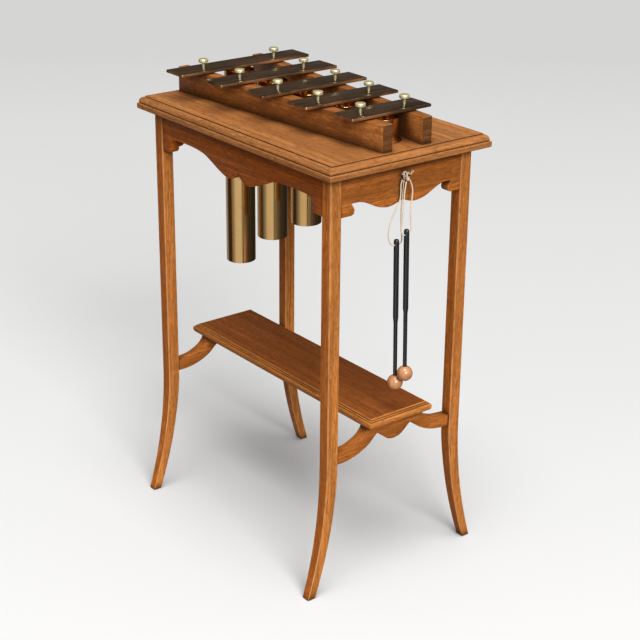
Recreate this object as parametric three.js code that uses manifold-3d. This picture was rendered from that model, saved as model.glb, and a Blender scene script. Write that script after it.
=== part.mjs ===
// Table dinner gong: five graduated metal tone bars on two oak rails, a brass resonator
// tube under each bar, an oak table with a shelf, and two beaters hung on string loops.
// Millimetres, +Z up. X runs along the long side, with the beaters at the +X end.
import * as THREE from "three";
import * as BufferGeometryUtils from "three/addons/utils/BufferGeometryUtils.js";
import Module from "manifold-3d";

const wasm = await Module();
wasm.setup();

// ---------------------------------------------------------------- dimensions
const GAP = 0.3; // working clearance where one piece enters another

const TOP_Z = 810; // upper face of the table top
const TOP_THICKNESS = 24.5;
const TOP_HALF = [290.5, 177.5]; // overall half length and half width
const UNDER_TOP_Z = TOP_Z - TOP_THICKNESS;
const TOP_HOLE_RADIUS = 29;

const LEG_SIZE = 24;
const LEG_CHAMFER = 2.6;
const LEG_OUTER = [265.25, 155.75]; // outer faces of the straight part
const LEG_SWEEP_Z = 257; // the legs sweep outward below this height
const LEG_SWEEP = 41; // how far the feet stand out
const LEG_TAPER_Z = 230;
const FOOT_SIZE = 17.3;
const LEG_SWEEP_STEPS = 10;

const APRON_THICKNESS = 18;
const APRON_OUTER = [263.75, 154]; // outer faces of the end and the long aprons
const STRETCHER_THICKNESS = 19.5;
const STRETCHER_OUTER_X = 261;

const SHELF_Z = 308.75; // underside of the shelf, on the stretchers
const SHELF_THICKNESS = 18;
const SHELF_HALF = [280, 72];

const RAIL_HEIGHT = 47;
const RAIL_WIDTH = 21.5;
const RAIL_CHAMFER = 1.5;
const RAIL_END_X = 272;
const RAIL_NEAR_Y = 43.1; // rail centre line at the +X end
const RAIL_SLOPE = 0.0771; // the rails spread toward the -X end

const BAR_PITCH = 104.25;
const BAR_LENGTHS = [290.5, 262, 234.5, 205, 173.5];
const BAR_WIDTH = 54;
const BAR_THICKNESS = 5;
const BAR_EDGE = 0.6;
const BAR_HOLE_RADIUS = 3.6;
const BAR_CENTRE_X = -2.25; // the middle bar

const FELT_THICKNESS = 2;
const FELT_RADIUS = 8;
const FELT_HOLE_RADIUS = 3.4;

const PIN_STEM_RADIUS = 2.7;
const PIN_HEAD_RADIUS = 9;
const PIN_HEAD_Z = 873.75; // underside of the head
const PIN_TOP_Z = 880.75;
const PIN_DEPTH = 25; // how far the shank stands in the rail

const TUBE_RADIUS = 28.5;
const TUBE_WALL = 1.2;
const TUBE_RIM_Z = 850.5;
const TUBE_BOTTOMS = [471, 549, 605.5, 677, 720];
const COLLAR_RADIUS = 34;
const COLLAR_HEIGHT = 4.2;
const TUBE_SIDES = 28;

const NAIL_RADIUS = 1.6;
const NAIL_HEAD_RADIUS = 2.4;
const NAIL_POSITION = [APRON_OUTER[0], 0.5, 765];
const NAIL_LENGTH = 17; // proud of the apron
const NAIL_DEPTH = 12;

const BEATER_LENGTH = 280;
const GRIP_RADIUS = 4.8;
const GRIP_LENGTH = 144;
const SHAFT_RADIUS = 3.7;
const HANDLE_HOLE_DROP = 10; // from the top of the grip to the cross hole
const HANDLE_HOLE_RADIUS = 2.2;
const BEATER_LEAN = THREE.MathUtils.degToRad(1.5); // how far each ball hangs out toward +X
const BALL_RADIUS = 14;
const BALL_BORE_DEPTH = 12;
const HOLE_A = [258, -5.1, 636.75]; // cross hole of beater A
const HOLE_B = [276, 1.3, 658.7]; // cross hole of beater B

const STRING_RADIUS = 1.15;
const STRING_SIDES = 8;
const STRING_STEPS = 44;
const KNOT_A_X = 268;
const KNOT_B_X = 275.5;
const KNOT_RING_RADIUS = NAIL_RADIUS + GAP + 1.5;

// The half bounding length runs from the far edge of the top to the front of ball B.
const BALL_Z = HANDLE_HOLE_DROP - BEATER_LENGTH + BALL_RADIUS; // from the cross hole
const BALL_FRONT_X = HOLE_B[0] - BALL_Z * Math.sin(BEATER_LEAN) + BALL_RADIUS;
const CENTRE_SHIFT_X = -(BALL_FRONT_X - TOP_HALF[0]) / 2;

// ---------------------------------------------------------------- materials
const oak = (color) => new THREE.MeshStandardMaterial({ color, roughness: 0.45, metalness: 0 });
const oakTop = () => oak(0x8a5228);
const oakFrame = () => oak(0x9a5c2c);
const oakRail = () => oak(0xa0602f);
const brass = () => new THREE.MeshStandardMaterial({ color: 0xc9a04a, roughness: 0.18, metalness: 1 });
const darkMetal = () => new THREE.MeshStandardMaterial({ color: 0x2a1d18, roughness: 0.22, metalness: 0.8 });
const felt = () => new THREE.MeshStandardMaterial({ color: 0x6f7268, roughness: 0.95, metalness: 0 });
const blackLacquer = () => new THREE.MeshStandardMaterial({ color: 0x0d0d0f, roughness: 0.35, metalness: 0 });
const turnedWood = () => new THREE.MeshStandardMaterial({ color: 0xc98a54, roughness: 0.3, metalness: 0 });
const cotton = () => new THREE.MeshStandardMaterial({ color: 0xe6d3b4, roughness: 0.9, metalness: 0 });

// ---------------------------------------------------------------- helpers
const group = new THREE.Group();

function add(name, geometry, material, parent = group) {
  const mesh = new THREE.Mesh(geometry, material);
  mesh.name = name;
  parent.add(mesh);
  return mesh;
}

// A closed geometry as a solid: shared corners merged, slivers with no area left out.
function solid(geometry) {
  const bare = geometry.clone();
  bare.deleteAttribute("normal");
  bare.deleteAttribute("uv");
  const merged = BufferGeometryUtils.mergeVertices(bare, 1e-4);
  const index = merged.index.array;
  const faces = [];
  for (let i = 0; i < index.length; i += 3) {
    const [a, b, c] = [index[i], index[i + 1], index[i + 2]];
    if (a !== b && b !== c && c !== a) faces.push(a, b, c);
  }
  return new wasm.Manifold(new wasm.Mesh({
    numProp: 3,
    vertProperties: new Float32Array(merged.attributes.position.array),
    triVerts: new Uint32Array(faces),
  }));
}

function toGeometry(manifold) {
  const { vertProperties, triVerts } = manifold.getMesh();
  const geometry = new THREE.BufferGeometry();
  geometry.setAttribute("position", new THREE.BufferAttribute(vertProperties, 3));
  geometry.setIndex(new THREE.BufferAttribute(triVerts, 1));
  geometry.computeVertexNormals();
  return geometry;
}

function cut(geometry, tools) {
  return toGeometry(tools.reduce((body, tool) => body.subtract(solid(tool)), solid(geometry)));
}

function join(geometries) {
  return toGeometry(geometries.slice(1).reduce((body, g) => body.add(solid(g)), solid(geometries[0])));
}

// An upright rod from z0 to z1 at x, y.
function rod(radius, x, y, z0, z1, sides) {
  const geometry = new THREE.CylinderGeometry(radius, radius, z1 - z0, sides);
  return geometry.rotateX(Math.PI / 2).translate(x, y, (z0 + z1) / 2);
}

// A turned piece: profile points are [radius, z], outer side upward.
function turned(profile, sides) {
  const points = profile.map(([r, z]) => new THREE.Vector2(r, z));
  return new THREE.LatheGeometry(points, sides).rotateX(Math.PI / 2);
}

// A rectangular board with a moulding run round its edge and mitred corners.
// The profile's points are [outward from the widest line, height], from the bottom up.
function mouldedBoard([halfX, halfY], profile) {
  const last = profile[profile.length - 1];
  const points = [
    new THREE.Vector2(0, profile[0][1]),
    ...profile.map(([out, z]) => new THREE.Vector2((halfY + out) * Math.SQRT2, z)),
    new THREE.Vector2(0, last[1]),
  ];
  const board = new THREE.LatheGeometry(points, 4, Math.PI / 4).rotateX(Math.PI / 2);
  const position = board.attributes.position;
  for (let i = 0; i < position.count; i += 1) {
    const x = position.getX(i);
    if (Math.abs(x) > 1) position.setX(i, x + Math.sign(x) * (halfX - halfY));
  }
  return board;
}

// A shape that is the same on both sides of the middle. Each run of [across, height]
// points is one smooth curve, or a straight line if it has two points.
function mirroredShape(runs) {
  const half = runs.flatMap((run) => {
    const points = run.map(([x, y]) => new THREE.Vector2(x, y));
    if (points.length === 2) return points;
    return new THREE.SplineCurve(points).getPoints((points.length - 1) * 2);
  });
  const other = half.map((p) => new THREE.Vector2(-p.x, p.y)).reverse();
  const outline = [...half, ...other];
  return new THREE.Shape(outline.filter((p, i) => p.distanceTo(outline.at(i - 1)) > 0.05));
}

const extrude = (shape, depth) => new THREE.ExtrudeGeometry(shape, { depth, bevelEnabled: false });

// Boards on edge: across the width (facing X) and along the length (facing Y).
const standAcross = (geometry) => geometry.rotateX(Math.PI / 2).rotateZ(Math.PI / 2);
const standAlong = (geometry) => geometry.rotateX(Math.PI / 2);

// ---------------------------------------------------------------- positions
const barX = (i) => BAR_CENTRE_X + (i - 2) * BAR_PITCH;
const railY = (x) => RAIL_NEAR_Y + (RAIL_END_X - x) * RAIL_SLOPE;
const SIDES = [["front", -1], ["back", 1]];
const ENDS = [["far", -1], ["near", 1]];
const RAIL_TOP_Z = TOP_Z + RAIL_HEIGHT;
const BAR_Z = RAIL_TOP_Z + FELT_THICKNESS;

// ---------------------------------------------------------------- table top
function tableTop() {
  const moulding = [
    [-1.2, 0], [0, 1.2], [0, 9.5], [-0.9, 10.7], [-2.6, 12.4], [-2.8, 12.9], [-3.3, 16.3],
    [-5, 19.3], [-7.5, 21.6], [-10.5, 22.7], [-11.4, TOP_THICKNESS],
  ].map(([out, z]) => [out, UNDER_TOP_Z + z]);
  const holes = BAR_LENGTHS.map((_, i) =>
    rod(TOP_HOLE_RADIUS, barX(i), 0, UNDER_TOP_Z - 5, TOP_Z + 5, TUBE_SIDES));
  return cut(mouldedBoard(TOP_HALF, moulding), holes);
}
add("table_top", tableTop(), oakTop());

// ---------------------------------------------------------------- legs
function leg(sideX, sideY) {
  const h = LEG_SIZE / 2;
  const c = h - LEG_CHAMFER;
  const section = new THREE.Shape([
    [h, -c], [h, c], [c, h], [-c, h], [-h, c], [-h, -c], [-c, -h], [c, -h],
  ].map(([x, y]) => new THREE.Vector2(x, y)));
  const step = LEG_SWEEP_Z / LEG_SWEEP_STEPS;
  const depth = LEG_SWEEP_Z + step;
  const options = { depth, steps: LEG_SWEEP_STEPS + 1, bevelEnabled: false };
  const geometry = new THREE.ExtrudeGeometry(section, options);
  const position = geometry.attributes.position;
  for (let i = 0; i < position.count; i += 1) {
    const z = position.getZ(i) > LEG_SWEEP_Z + step / 2 ? UNDER_TOP_Z : position.getZ(i);
    const sweep = LEG_SWEEP * (Math.max(0, LEG_SWEEP_Z - z) / LEG_SWEEP_Z) ** 2;
    const taper = (LEG_SIZE - FOOT_SIZE) * Math.max(0, LEG_TAPER_Z - z) / LEG_TAPER_Z;
    const size = LEG_SIZE - taper;
    const x = sideX * (LEG_OUTER[0] - size / 2) + position.getX(i) * size / LEG_SIZE;
    const y = sideY * (LEG_OUTER[1] + sweep - size / 2) + position.getY(i) * size / LEG_SIZE;
    position.setXYZ(i, x, y, z);
  }
  geometry.computeVertexNormals();
  return geometry;
}
for (const [end, sideX] of ENDS) {
  for (const [side, sideY] of SIDES) add(`leg_${end}_${side}`, leg(sideX, sideY), oakFrame());
}

// ---------------------------------------------------------------- aprons
// Each apron hangs between two legs: a rounded ear by each leg, then an arch, then two
// lobes that meet in a point at the middle.
const LEG_INNER = LEG_OUTER.map((outer) => outer - LEG_SIZE);

function endApron() {
  return mirroredShape([
    [[LEG_INNER[1], UNDER_TOP_Z], [LEG_INNER[1], 711]],
    [[110, 711], [105.3, 713.7], [103.5, 720], [106, 726], [110, 731]],
    [[108, 731.7], [92, 731.5], [79.7, 727.7], [66.6, 721.4], [54, 715.5], [42, 712.2],
      [28, 710.8], [13.5, 713.7], [0, 718.7]],
  ]);
}

function longApron() {
  return mirroredShape([
    [[LEG_INNER[0], UNDER_TOP_Z], [LEG_INNER[0], 712]],
    [[219.5, 712], [215, 716], [213.3, 722], [211.5, 732.5]],
    [[209, 736], [200, 739.5], [185, 740.5], [140, 740.5], [106, 736.7], [83, 728.6],
      [61, 719], [40.5, 712], [31.5, 710.6], [20, 711.7], [10, 716.4], [0, 724.5]],
  ]);
}

for (const [end, sideX] of ENDS) {
  let geometry = standAcross(extrude(endApron(), APRON_THICKNESS));
  geometry.translate(sideX > 0 ? APRON_OUTER[0] - APRON_THICKNESS : -APRON_OUTER[0], 0, 0);
  if (sideX > 0) {
    const bore = new THREE.CylinderGeometry(NAIL_RADIUS + GAP, NAIL_RADIUS + GAP, 2 * NAIL_DEPTH, 12);
    bore.rotateZ(Math.PI / 2).translate(...NAIL_POSITION);
    geometry = cut(geometry, [bore]);
  }
  add(`apron_${end}_end`, geometry, oakFrame());
}
for (const [side, sideY] of SIDES) {
  const geometry = standAlong(extrude(longApron(), APRON_THICKNESS));
  geometry.translate(0, sideY > 0 ? APRON_OUTER[1] : APRON_THICKNESS - APRON_OUTER[1], 0);
  add(`apron_${side}`, geometry, oakFrame());
}

// ---------------------------------------------------------------- stretchers and shelf
// A stretcher joins the two legs of each end. It rises in a curve to carry the shelf, and
// its lower edge has a lobe between two points in the middle.
function stretcher() {
  return mirroredShape([
    [[0, SHELF_Z], [61, SHELF_Z]],
    [[61.5, 308], [65.7, 299.7], [72, 292.5], [79, 287.5], [91, 281.7], [101.7, 278],
      [113.4, 276.3], [LEG_INNER[1], 274.5]],
    [[LEG_INNER[1], 253.5], [112.5, 254], [101.7, 255.6], [90, 258.3], [79, 262],
      [67.5, 267.3], [56, 274.5], [45, 285], [39.6, 288.5]],
    [[39.4, 288.4], [33.3, 285.3], [25.2, 278], [13.5, 270], [0, 267.3]],
  ]);
}
for (const [end, sideX] of ENDS) {
  const geometry = standAcross(extrude(stretcher(), STRETCHER_THICKNESS));
  geometry.translate(sideX > 0 ? STRETCHER_OUTER_X - STRETCHER_THICKNESS : -STRETCHER_OUTER_X, 0, 0);
  add(`stretcher_${end}`, geometry, oakFrame());
}

const SHELF_MOULDING = [
  [-4, 0], [-1.4, 2], [-0.3, 5], [0, 8.5], [-0.8, 11.5], [-2.4, 13.6], [-3.6, 13.9],
  [-4.4, 15.4], [-5.8, 15.8], [-7, 17.2], [-8, SHELF_THICKNESS],
].map(([out, z]) => [out, SHELF_Z + z]);
add("undershelf", mouldedBoard(SHELF_HALF, SHELF_MOULDING), oakTop());

// ---------------------------------------------------------------- rails
function rail(sideY) {
  const h = RAIL_WIDTH / 2;
  const section = new THREE.Shape([
    [-h, 0], [h, 0], [h, RAIL_HEIGHT - RAIL_CHAMFER], [h - RAIL_CHAMFER, RAIL_HEIGHT],
    [RAIL_CHAMFER - h, RAIL_HEIGHT], [-h, RAIL_HEIGHT - RAIL_CHAMFER],
  ].map(([x, y]) => new THREE.Vector2(x, y)));
  const slope = -RAIL_SLOPE * sideY;
  const skew = new THREE.Matrix4().makeShear(slope, 0, 0, 0, 0, 0);
  const geometry = standAcross(extrude(section, 2 * RAIL_END_X));
  geometry.translate(-RAIL_END_X, 0, TOP_Z).applyMatrix4(skew).translate(0, sideY * railY(0), 0);
  const holes = BAR_LENGTHS.map((_, i) => rod(PIN_STEM_RADIUS + GAP, barX(i), sideY * railY(barX(i)),
    RAIL_TOP_Z - PIN_DEPTH - GAP, RAIL_TOP_Z + 5, 12));
  return cut(geometry, holes);
}
for (const [side, sideY] of SIDES) add(`rail_${side}`, rail(sideY), oakRail());

// ---------------------------------------------------------------- tone bars
function toneBar(length, pinY) {
  const [x, y] = [BAR_WIDTH / 2 - BAR_EDGE, length / 2 - BAR_EDGE];
  const shape = new THREE.Shape([[-x, -y], [x, -y], [x, y], [-x, y]].map((p) => new THREE.Vector2(...p)));
  for (const sideY of [-1, 1]) {
    const hole = new THREE.Path().absarc(0, sideY * pinY, BAR_HOLE_RADIUS + BAR_EDGE, 0, 2 * Math.PI);
    shape.holes.push(hole);
  }
  return new THREE.ExtrudeGeometry(shape, {
    depth: BAR_THICKNESS - 2 * BAR_EDGE, bevelThickness: BAR_EDGE, bevelSize: BAR_EDGE,
    bevelSegments: 1, curveSegments: 7,
  }).translate(0, 0, BAR_EDGE);
}

// ---------------------------------------------------------------- pins and felts
const PIN_PROFILE = [
  [0, RAIL_TOP_Z - PIN_DEPTH], [PIN_STEM_RADIUS, RAIL_TOP_Z - PIN_DEPTH],
  [PIN_STEM_RADIUS, PIN_HEAD_Z - 2], [PIN_STEM_RADIUS + 0.5, PIN_HEAD_Z - 0.6],
  [PIN_HEAD_RADIUS - 1.1, PIN_HEAD_Z], [PIN_HEAD_RADIUS, PIN_HEAD_Z + 1.4],
  [PIN_HEAD_RADIUS, PIN_TOP_Z - 1.6], [PIN_HEAD_RADIUS - 1.2, PIN_TOP_Z - 0.4], [0, PIN_TOP_Z],
];
const FELT_PROFILE = [
  [FELT_HOLE_RADIUS, RAIL_TOP_Z], [FELT_RADIUS, RAIL_TOP_Z],
  [FELT_RADIUS, BAR_Z], [FELT_HOLE_RADIUS, BAR_Z], [FELT_HOLE_RADIUS, RAIL_TOP_Z],
];

// ---------------------------------------------------------------- resonators
function resonator(bottomZ) {
  const inner = TUBE_RADIUS - TUBE_WALL;
  return turned([
    [0, bottomZ], [TUBE_RADIUS - 1, bottomZ], [TUBE_RADIUS, bottomZ + 1], [TUBE_RADIUS, TUBE_RIM_Z],
    [inner, TUBE_RIM_Z], [inner, bottomZ + TUBE_WALL], [0, bottomZ + TUBE_WALL],
  ], TUBE_SIDES);
}
const COLLAR_INNER = TUBE_RADIUS + GAP + 0.1;
const COLLAR_PROFILE = [
  [COLLAR_INNER, TOP_Z], [COLLAR_RADIUS, TOP_Z], [COLLAR_RADIUS - 0.6, TOP_Z + 1.5],
  [COLLAR_RADIUS - 3, TOP_Z + 1.8], [COLLAR_RADIUS - 3.6, TOP_Z + COLLAR_HEIGHT],
  [COLLAR_INNER, TOP_Z + COLLAR_HEIGHT], [COLLAR_INNER, TOP_Z],
];

BAR_LENGTHS.forEach((length, i) => {
  const x = barX(i);
  const pinY = railY(x);
  const n = i + 1;
  add(`tone_bar_${n}`, toneBar(length, pinY), darkMetal()).position.set(x, 0, BAR_Z);
  for (const [side, sideY] of SIDES) {
    add(`pin_${n}_${side}`, turned(PIN_PROFILE, 14), brass()).position.set(x, sideY * pinY, 0);
    add(`felt_${n}_${side}`, turned(FELT_PROFILE, 12), felt()).position.set(x, sideY * pinY, 0);
  }
  add(`resonator_${n}`, resonator(TUBE_BOTTOMS[i]), brass()).position.set(x, 0, 0);
  add(`collar_${n}`, turned(COLLAR_PROFILE, TUBE_SIDES), brass()).position.set(x, 0, 0);
});

// ---------------------------------------------------------------- hanging nail
const nail = turned([
  [0, -NAIL_DEPTH + GAP], [NAIL_RADIUS, -NAIL_DEPTH + GAP], [NAIL_RADIUS, NAIL_LENGTH - 2],
  [NAIL_HEAD_RADIUS, NAIL_LENGTH - 1.6], [NAIL_HEAD_RADIUS - 0.4, NAIL_LENGTH - 0.4], [0, NAIL_LENGTH],
], 12);
nail.rotateY(Math.PI / 2);
add("hanging_nail", nail, brass()).position.set(...NAIL_POSITION);

// ---------------------------------------------------------------- string loops
// Each loop starts and ends under its knot, runs down one side, through the cross hole of
// its handle along Y and back up. Points are [x, y, z].
const NAIL_Y = NAIL_POSITION[1];
const NAIL_Z = NAIL_POSITION[2];
const LOOP_A = [
  [267.4, NAIL_Y - 5, 755], [266.8, -6.6, 746], [266.2, -6, 733], [265.6, -6.8, 720],
  [265.2, -13.6, 706], [263.5, -20.8, 690], [261.5, -25.5, 672], [259.6, -25.2, 655],
  [258.4, -20.4, 643.5], [258, -16.1, 638.2], [258, -11.7, 636.8], HOLE_A, [258, 1.3, 636.8],
  [258.2, 4.9, 639.2], [258.8, 5.8, 645], [260.2, 3.1, 660], [262.6, -0.3, 680], [265.2, -2.8, 706],
  [266.4, -2, 730], [267.3, NAIL_Y - 1.4, 752.8],
];
const LOOP_B = [
  [275.8, NAIL_Y - 3.4, 753.4], [275.8, -4.4, 744.8], [275.8, -6.1, 732.5], [275.9, -7.1, 714.8],
  [275.9, -7.8, 696], [276, -9.3, 679.1], [276, -10, 666.8], [276, -8.6, 661.2],
  [276, -4.9, 658.8], HOLE_B, [276, 7.4, 658.8], [276, 10.9, 661.2], [276, 11.6, 667.3],
  [275.9, 8.9, 694.5], [275.9, 10.4, 716.7], [275.8, 11.5, 737.5], [275.8, NAIL_Y + 5, 755],
];

function stringLoop(route) {
  const path = new THREE.CatmullRomCurve3(route.map((p) => new THREE.Vector3(...p)), false, "centripetal");
  const section = new THREE.Shape();
  for (let i = 0; i < STRING_SIDES; i += 1) {
    const a = (2 * Math.PI * i) / STRING_SIDES;
    const point = [STRING_RADIUS * Math.cos(a), STRING_RADIUS * Math.sin(a)];
    if (i === 0) section.moveTo(...point);
    else section.lineTo(...point);
  }
  return new THREE.ExtrudeGeometry(section, { extrudePath: path, steps: STRING_STEPS, bevelEnabled: false });
}

// A knot: the turn of string round the nail and the tight lump under it.
function knot(x) {
  const circle = [];
  for (let i = 0; i <= 8; i += 1) {
    const a = (2 * Math.PI * i) / 8;
    circle.push([KNOT_RING_RADIUS + 1.5 * Math.cos(a), 1.5 * Math.sin(a)]);
  }
  const ring = turned(circle, 14).rotateY(Math.PI / 2).translate(x, NAIL_Y, NAIL_Z);
  const lump = new THREE.SphereGeometry(1, 14, 8).scale(2.6, 5.2, 2.6);
  lump.translate(x, NAIL_Y, NAIL_Z - KNOT_RING_RADIUS - 2.8);
  return join([ring, lump]);
}

const LOOPS = [["a", KNOT_A_X, LOOP_A], ["b", KNOT_B_X, LOOP_B]];
for (const [letter, x, route] of LOOPS) {
  add(`knot_${letter}`, knot(x), cotton());
  add(`string_loop_${letter}`, stringLoop(route), cotton());
}

// ---------------------------------------------------------------- beaters
// Built round the cross hole: the handle hangs down from it, with the ball on its end.
function handle() {
  const top = HANDLE_HOLE_DROP;
  const gripEnd = top - GRIP_LENGTH;
  const shaftEnd = BALL_Z + BALL_RADIUS - BALL_BORE_DEPTH + GAP;
  const body = turned([
    [0, shaftEnd], [SHAFT_RADIUS - 0.2, shaftEnd], [SHAFT_RADIUS, gripEnd - 9],
    [SHAFT_RADIUS + 0.5, gripEnd - 5], [GRIP_RADIUS, gripEnd],
    [GRIP_RADIUS, top - 3.5], [GRIP_RADIUS - 1.4, top - 1], [GRIP_RADIUS - 3, top - 0.1], [0, top],
  ], 16);
  const hole = new THREE.CylinderGeometry(HANDLE_HOLE_RADIUS, HANDLE_HOLE_RADIUS, 4 * GRIP_RADIUS, 10);
  return cut(body, [hole]);
}

function ball() {
  const body = new THREE.SphereGeometry(BALL_RADIUS, 20, 12).rotateX(Math.PI / 2);
  const top = BALL_Z + BALL_RADIUS;
  const bore = rod(SHAFT_RADIUS + GAP, 0, 0, top - BALL_BORE_DEPTH, top + 5, 16);
  return cut(body.translate(0, 0, BALL_Z), [bore]);
}

for (const [letter, place] of [["a", HOLE_A], ["b", HOLE_B]]) {
  const beater = new THREE.Group();
  beater.position.set(...place);
  beater.rotation.y = -BEATER_LEAN;
  add(`beater_handle_${letter}`, handle(), blackLacquer(), beater);
  add(`beater_ball_${letter}`, ball(), turnedWood(), beater);
  group.add(beater);
}

group.position.x = CENTRE_SHIFT_X;

export default group;
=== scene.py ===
import math
import random

import bpy
import bmesh
from mathutils import Matrix, Vector


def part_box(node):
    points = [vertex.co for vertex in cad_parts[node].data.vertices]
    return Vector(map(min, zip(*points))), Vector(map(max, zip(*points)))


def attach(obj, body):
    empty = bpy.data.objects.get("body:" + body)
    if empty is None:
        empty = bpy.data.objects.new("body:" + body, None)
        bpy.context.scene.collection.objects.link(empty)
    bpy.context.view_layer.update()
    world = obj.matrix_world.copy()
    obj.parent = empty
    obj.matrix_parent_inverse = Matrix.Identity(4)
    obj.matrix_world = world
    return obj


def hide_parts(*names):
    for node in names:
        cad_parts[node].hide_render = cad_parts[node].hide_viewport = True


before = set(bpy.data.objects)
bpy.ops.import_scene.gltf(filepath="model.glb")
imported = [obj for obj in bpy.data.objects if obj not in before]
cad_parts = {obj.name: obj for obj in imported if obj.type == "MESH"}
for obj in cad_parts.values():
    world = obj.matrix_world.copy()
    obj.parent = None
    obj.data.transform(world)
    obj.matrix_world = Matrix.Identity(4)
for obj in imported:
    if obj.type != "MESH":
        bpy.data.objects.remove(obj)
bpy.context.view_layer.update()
RNG = random.Random(7)
MM = 0.001
shelf_low, shelf_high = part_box("undershelf")
SHIFT = (shelf_low.x + shelf_high.x) / 2  # the middle of the table along X, in the part's frame

# ------------------------------------------------------------------ driving sizes, in millimetres
TOP_Z = 810
TOP_THICKNESS = 24.5
TOP_HALF = (290.5, 177.5)
TOP_UNDERSIDE_Z = TOP_Z - TOP_THICKNESS
SHELF_Z = 308.75
SHELF_HALF = (280, 72)
LEG_SIZE = 24
LEG_CORNER = (265.25, 155.75)  # the outer corner of each leg, above its bend
LEG_BEND_Z = 257
LEG_SWEEP = 41
LEG_TAPER_Z = 230
LEG_TAPER = 6.7
LEG_ARRIS = 1.9
APRON_END_X = (245.75, 263.75)  # the inner and outer faces of the boards at the near end
APRON_LONG_Y = (136, 154)
STRETCHER_X = (241.5, 261)
RAIL_WIDTH = 21.5
RAIL_HEIGHT = 47
RAIL_HALF_LENGTH = 272
RAIL_END_Y = 43.1
RAIL_SPLAY = 0.0771  # the rails spread by this much a side for each millimetre away from +X
BAR_LENGTHS = [290.5, 262, 234.5, 205, 173.5]
BAR_WIDTH = 54
BAR_THICKNESS = 5
BAR_Z = 859
BAR_MIDDLE_X = -2.25
BAR_PITCH = 104.25
BAR_X = [BAR_MIDDLE_X + (i - 2) * BAR_PITCH for i in range(5)]
BORE_RADIUS = 29
TUBE_RADIUS = 28.5
TUBE_WALL = 1.2
TUBE_RIM_Z = 850.5
TUBE_BOTTOMS = [471, 549, 605.5, 677, 720]
NAIL_Y = 0.5
NAIL_Z = 765
CORD_D = 2.3 * MM
HOLE_A = (258, -5.1, 636.75)  # the cross hole in each beater's handle
HOLE_B = (276, 1.3, 658.7)
BEATER_LEAN = math.radians(1.5)  # how far each ball hangs out toward +X


def at(x, y, z):
    """A point given in millimetres from the middle of the table, in the part's frame."""
    return Vector((x * MM + SHIFT, y * MM, z * MM))


def rail_y(x):
    """The distance of a rail's centre line from the middle of the table."""
    return RAIL_END_Y + (RAIL_HALF_LENGTH - x) * RAIL_SPLAY


# ------------------------------------------------------------------ camera
AZIMUTH = math.radians(51.834)
PITCH = math.radians(22.637)
ROLL = math.radians(0.5505)
camera_data = bpy.data.cameras.new("camera")
camera = bpy.data.objects.new("camera", camera_data)
bpy.context.scene.collection.objects.link(camera)
camera_data.sensor_width = 36
camera_data.lens = 86.62
camera_data.clip_end = 100
ahead = Vector((-math.sin(AZIMUTH), math.cos(AZIMUTH), 0))
forward = ahead * math.cos(PITCH) - Vector((0, 0, math.sin(PITCH)))
level_right = Vector((math.cos(AZIMUTH), math.sin(AZIMUTH), 0))
level_up = level_right.cross(forward)
right = math.cos(ROLL) * level_right + math.sin(ROLL) * level_up
up = right.cross(forward)
place = Matrix((right, up, -forward)).transposed().to_4x4()
place.translation = at(2126.6, -1638.3, 1529.4)
camera.matrix_world = place
bpy.context.scene.camera = camera


# ------------------------------------------------------------------ mesh helpers
def build(name, verts, faces, mats, face_mats=None, angle=35):
    """A mesh object, smooth but for the edges that are sharper than the angle in degrees."""
    mesh = bpy.data.meshes.new(name)
    mesh.from_pydata([tuple(v) for v in verts], [], faces)
    for m in mats:
        mesh.materials.append(m)
    if face_mats:
        for polygon, index in zip(mesh.polygons, face_mats):
            polygon.material_index = index
    mesh.update()
    obj = bpy.data.objects.new(name, mesh)
    bpy.context.scene.collection.objects.link(obj)
    smooth(obj, angle)
    return obj


def smooth(obj, angle):
    """Turns the faces out, and shades them smooth up to the angle in degrees."""
    mesh = obj.data
    bm = bmesh.new()
    bm.from_mesh(mesh)
    bmesh.ops.recalc_face_normals(bm, faces=bm.faces)
    bm.to_mesh(mesh)
    bm.free()
    mesh.shade_smooth()
    mesh.set_sharp_from_angle(angle=math.radians(angle))


def place_piece(obj, body, slot, *nodes):
    """Hands a finished piece to the frame: its body and the nodes it stands for. The finish slot is not used.
    """
    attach(obj, body)
    if nodes:
        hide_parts(*nodes)
    return obj


def fillet(points, radius, steps=4, closed=True):
    """A 2-D outline with each corner rounded, by radius or less where the sides are short."""
    pts = [Vector(p) for p in points]
    out = []
    n = len(pts)
    for i, p in enumerate(pts):
        if not closed and i in (0, n - 1):
            out.append(p)
            continue
        a, b = pts[i - 1] - p, pts[(i + 1) % n] - p
        r = radius[i] if isinstance(radius, (list, tuple)) else radius
        r = min(r, a.length * 0.45, b.length * 0.45)
        if r < 1e-9:
            out.append(p)
            continue
        start, end = p + a.normalized() * r, p + b.normalized() * r
        for k in range(steps + 1):
            t = k / steps
            out.append(start * (1 - t) ** 2 + p * 2 * t * (1 - t) + end * t * t)
    return out


def turned(profile, sides, closed=False):
    """Vertices and faces of a lathe about Z; profile points are (radius, z)."""
    verts, faces, rings = [], [], []
    for r, z in profile:
        if r < 1e-9:
            rings.append([len(verts)] * sides)
            verts.append(Vector((0, 0, z)))
            continue
        rings.append(list(range(len(verts), len(verts) + sides)))
        for k in range(sides):
            a = 2 * math.pi * k / sides
            verts.append(Vector((r * math.cos(a), r * math.sin(a), z)))
    pairs = list(zip(rings, rings[1:]))
    if closed:
        pairs.append((rings[-1], rings[0]))
    for low, high in pairs:
        for k in range(sides):
            q = [low[k], low[(k + 1) % sides], high[(k + 1) % sides], high[k]]
            q = list(dict.fromkeys(q))
            if len(q) > 2:
                faces.append(q)
    return verts, faces


def move(verts, matrix):
    return [matrix @ v for v in verts]


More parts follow.
